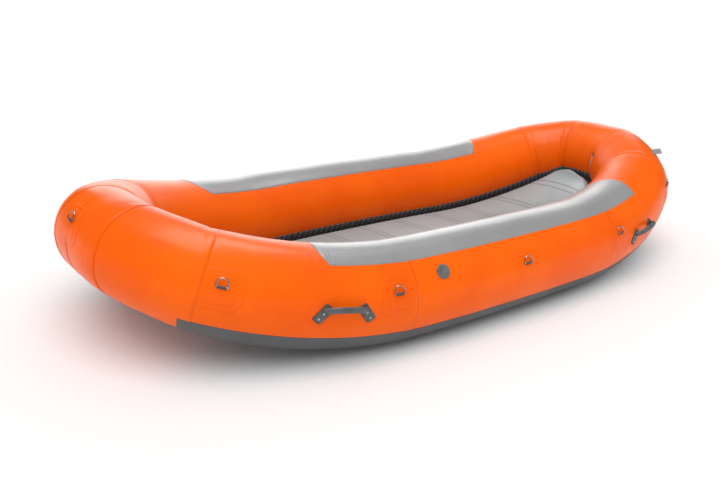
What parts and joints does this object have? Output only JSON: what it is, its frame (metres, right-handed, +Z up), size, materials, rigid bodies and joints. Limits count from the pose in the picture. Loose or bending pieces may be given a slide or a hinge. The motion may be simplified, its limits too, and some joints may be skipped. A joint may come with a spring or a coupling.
{
  "type": "inflatable raft",
  "caption": "Oval self-bailing whitewater raft: orange tube ring with grey wear layers, laced inflatable floor, D-rings, carry handles and capped valves.",
  "frame": {"origin": "on the ground under the middle of the hull", "axes": "+X to the bow, +Y to port, +Z up"},
  "size_m": [4.2736, 2.0678, 0.7663],
  "materials": {
    "tube_fabric": "glossy coated fabric",
    "inner_fabric": "satin coated fabric",
    "bottom_wear": "satin coated fabric",
    "top_wear": "glossy coated fabric",
    "stainless": "polished",
    "rivet": "satin",
    "handle_rubber": "satin moulded rubber",
    "valve_plastic": "satin",
    "floor_fabric": "satin coated fabric",
    "webbing": "woven",
    "eyelet": "satin",
    "lace": "braided",
    "strap": "woven",
    "tab": "woven"
  },
  "bodies": {
    "hull": {"panel_bow": "tube_fabric", "panel_stern": "tube_fabric", "panel_bow_port": "tube_fabric", "panel_bow_starboard": "tube_fabric", "panel_stern_port": "tube_fabric", "panel_stern_starboard": "tube_fabric", "panel_fore_port": "tube_fabric", "panel_fore_starboard": "tube_fabric", "panel_aft_port": "tube_fabric", "panel_aft_starboard": "tube_fabric", "panel_mid_port": "tube_fabric", "panel_mid_starboard": "tube_fabric", "seam_tapes": "inner_fabric", "tube_baffles": "inner_fabric", "bottom_wear_port": "bottom_wear", "bottom_wear_starboard": "bottom_wear", "top_wear_port": "top_wear", "top_wear_starboard": "top_wear", "ring_patches": "tube_fabric", "ring_keepers": "webbing", "handle_fore_port": "handle_rubber", "handle_fore_starboard": "handle_rubber", "handle_aft_port": "handle_rubber", "handle_aft_starboard": "handle_rubber", "handle_patches": "tube_fabric", "handle_rivets": "rivet", "valve_port_body": "valve_plastic", "valve_port_spring": "stainless", "valve_starboard_body": "valve_plastic", "valve_starboard_spring": "stainless", "valve_floor_body": "valve_plastic", "valve_floor_spring": "stainless", "floor_top": "floor_fabric", "floor_bottom": "floor_fabric", "floor_sidewall": "floor_fabric", "floor_ribs": "floor_fabric", "floor_flange": "webbing", "floor_hem": "webbing", "floor_eyelets": "eyelet", "floor_lace": "lace", "stern_strap": "strap", "stern_tab": "tab"},
    "ring_bow": {"ring_bow": "stainless"},
    "ring_stern": {"ring_stern": "stainless"},
    "ring_port_1": {"ring_port_1": "stainless"},
    "ring_port_2": {"ring_port_2": "stainless"},
    "ring_port_3": {"ring_port_3": "stainless"},
    "ring_port_4": {"ring_port_4": "stainless"},
    "ring_port_5": {"ring_port_5": "stainless"},
    "ring_starboard_1": {"ring_starboard_1": "stainless"},
    "ring_starboard_2": {"ring_starboard_2": "stainless"},
    "ring_starboard_3": {"ring_starboard_3": "stainless"},
    "ring_starboard_4": {"ring_starboard_4": "stainless"},
    "ring_starboard_5": {"ring_starboard_5": "stainless"},
    "valve_port_cap": {"valve_port_cap": "valve_plastic"},
    "valve_port_poppet": {"valve_port_poppet": "valve_plastic"},
    "valve_starboard_cap": {"valve_starboard_cap": "valve_plastic"},
    "valve_starboard_poppet": {"valve_starboard_poppet": "valve_plastic"},
    "valve_floor_cap": {"valve_floor_cap": "valve_plastic"},
    "valve_floor_poppet": {"valve_floor_poppet": "valve_plastic"}
  },
  "joints": [
    {"name": "ring_bow_swing", "type": "hinge", "parent": "hull", "child": "ring_bow", "pos_m": [2.10353, 0.00145, 0.6678], "axis": [-0.026, 0.9996, -0.0098], "range_deg": [0, 170]},
    {"name": "ring_stern_swing", "type": "hinge", "parent": "hull", "child": "ring_stern", "pos_m": [-2.10353, -0.00145, 0.6678], "axis": [0.026, -0.9996, -0.0098], "range_deg": [0, 170]},
    {"name": "ring_port_1_swing", "type": "hinge", "parent": "hull", "child": "ring_port_1", "pos_m": [1.70872, 0.74774, 0.49607], "axis": [-0.8198, 0.5284, -0.2206], "range_deg": [0, 170]},
    {"name": "ring_port_2_swing", "type": "hinge", "parent": "hull", "child": "ring_port_2", "pos_m": [0.87882, 0.98799, 0.36223], "axis": [-0.9926, 0.1117, -0.0468], "range_deg": [0, 170]},
    {"name": "ring_port_3_swing", "type": "hinge", "parent": "hull", "child": "ring_port_3", "pos_m": [-0.00002, 1.02436, 0.35672], "axis": [-1, -0.0022, 0], "range_deg": [0, 170]},
    {"name": "ring_port_4_swing", "type": "hinge", "parent": "hull", "child": "ring_port_4", "pos_m": [-0.87882, 0.98799, 0.36223], "axis": [-0.9926, -0.1117, 0.0468], "range_deg": [0, 170]},
    {"name": "ring_port_5_swing", "type": "hinge", "parent": "hull", "child": "ring_port_5", "pos_m": [-1.70872, 0.74774, 0.49607], "axis": [-0.8198, -0.5284, 0.2206], "range_deg": [0, 170]},
    {"name": "ring_starboard_1_swing", "type": "hinge", "parent": "hull", "child": "ring_starboard_1", "pos_m": [1.70872, -0.74774, 0.49607], "axis": [0.8198, 0.5284, 0.2206], "range_deg": [0, 170]},
    {"name": "ring_starboard_2_swing", "type": "hinge", "parent": "hull", "child": "ring_starboard_2", "pos_m": [0.87882, -0.98799, 0.36223], "axis": [0.9926, 0.1117, 0.0468], "range_deg": [0, 170]},
    {"name": "ring_starboard_3_swing", "type": "hinge", "parent": "hull", "child": "ring_starboard_3", "pos_m": [0.00002, -1.02436, 0.35672], "axis": [1, 0.0022, 0], "range_deg": [0, 170]},
    {"name": "ring_starboard_4_swing", "type": "hinge", "parent": "hull", "child": "ring_starboard_4", "pos_m": [-0.87882, -0.98799, 0.36223], "axis": [0.9926, -0.1117, -0.0468], "range_deg": [0, 170]},
    {"name": "ring_starboard_5_swing", "type": "hinge", "parent": "hull", "child": "ring_starboard_5", "pos_m": [-1.70872, -0.74774, 0.49607], "axis": [0.8198, -0.5284, -0.2206], "range_deg": [0, 170]},
    {"name": "valve_port_cap_turn", "type": "hinge", "parent": "hull", "child": "valve_port_cap", "pos_m": [0.59195, 0.9731, 0.41117], "axis": [0.0438, 0.8649, 0.5], "range_deg": [0, 90]},
    {"name": "valve_port_poppet_push", "type": "slide", "parent": "hull", "child": "valve_port_poppet", "axis": [-0.0438, -0.8649, -0.5], "range_m": [0, 0.005], "stiffness_N_per_m": 700, "springref_m": -0.006},
    {"name": "valve_starboard_cap_turn", "type": "hinge", "parent": "hull", "child": "valve_starboard_cap", "pos_m": [-0.59195, -0.9731, 0.41117], "axis": [-0.0438, -0.8649, 0.5], "range_deg": [0, 90]},
    {"name": "valve_starboard_poppet_push", "type": "slide", "parent": "hull", "child": "valve_starboard_poppet", "axis": [0.0438, 0.8649, -0.5], "range_m": [0, 0.005], "stiffness_N_per_m": 700, "springref_m": -0.006},
    {"name": "valve_floor_cap_turn", "type": "hinge", "parent": "hull", "child": "valve_floor_cap", "pos_m": [0.6, 0.25, 0.16346], "axis": [0, 0, 1], "range_deg": [0, 90]},
    {"name": "valve_floor_poppet_push", "type": "slide", "parent": "hull", "child": "valve_floor_poppet", "axis": [0, 0, -1], "range_m": [0, 0.005], "stiffness_N_per_m": 700, "springref_m": -0.006}
  ]
}
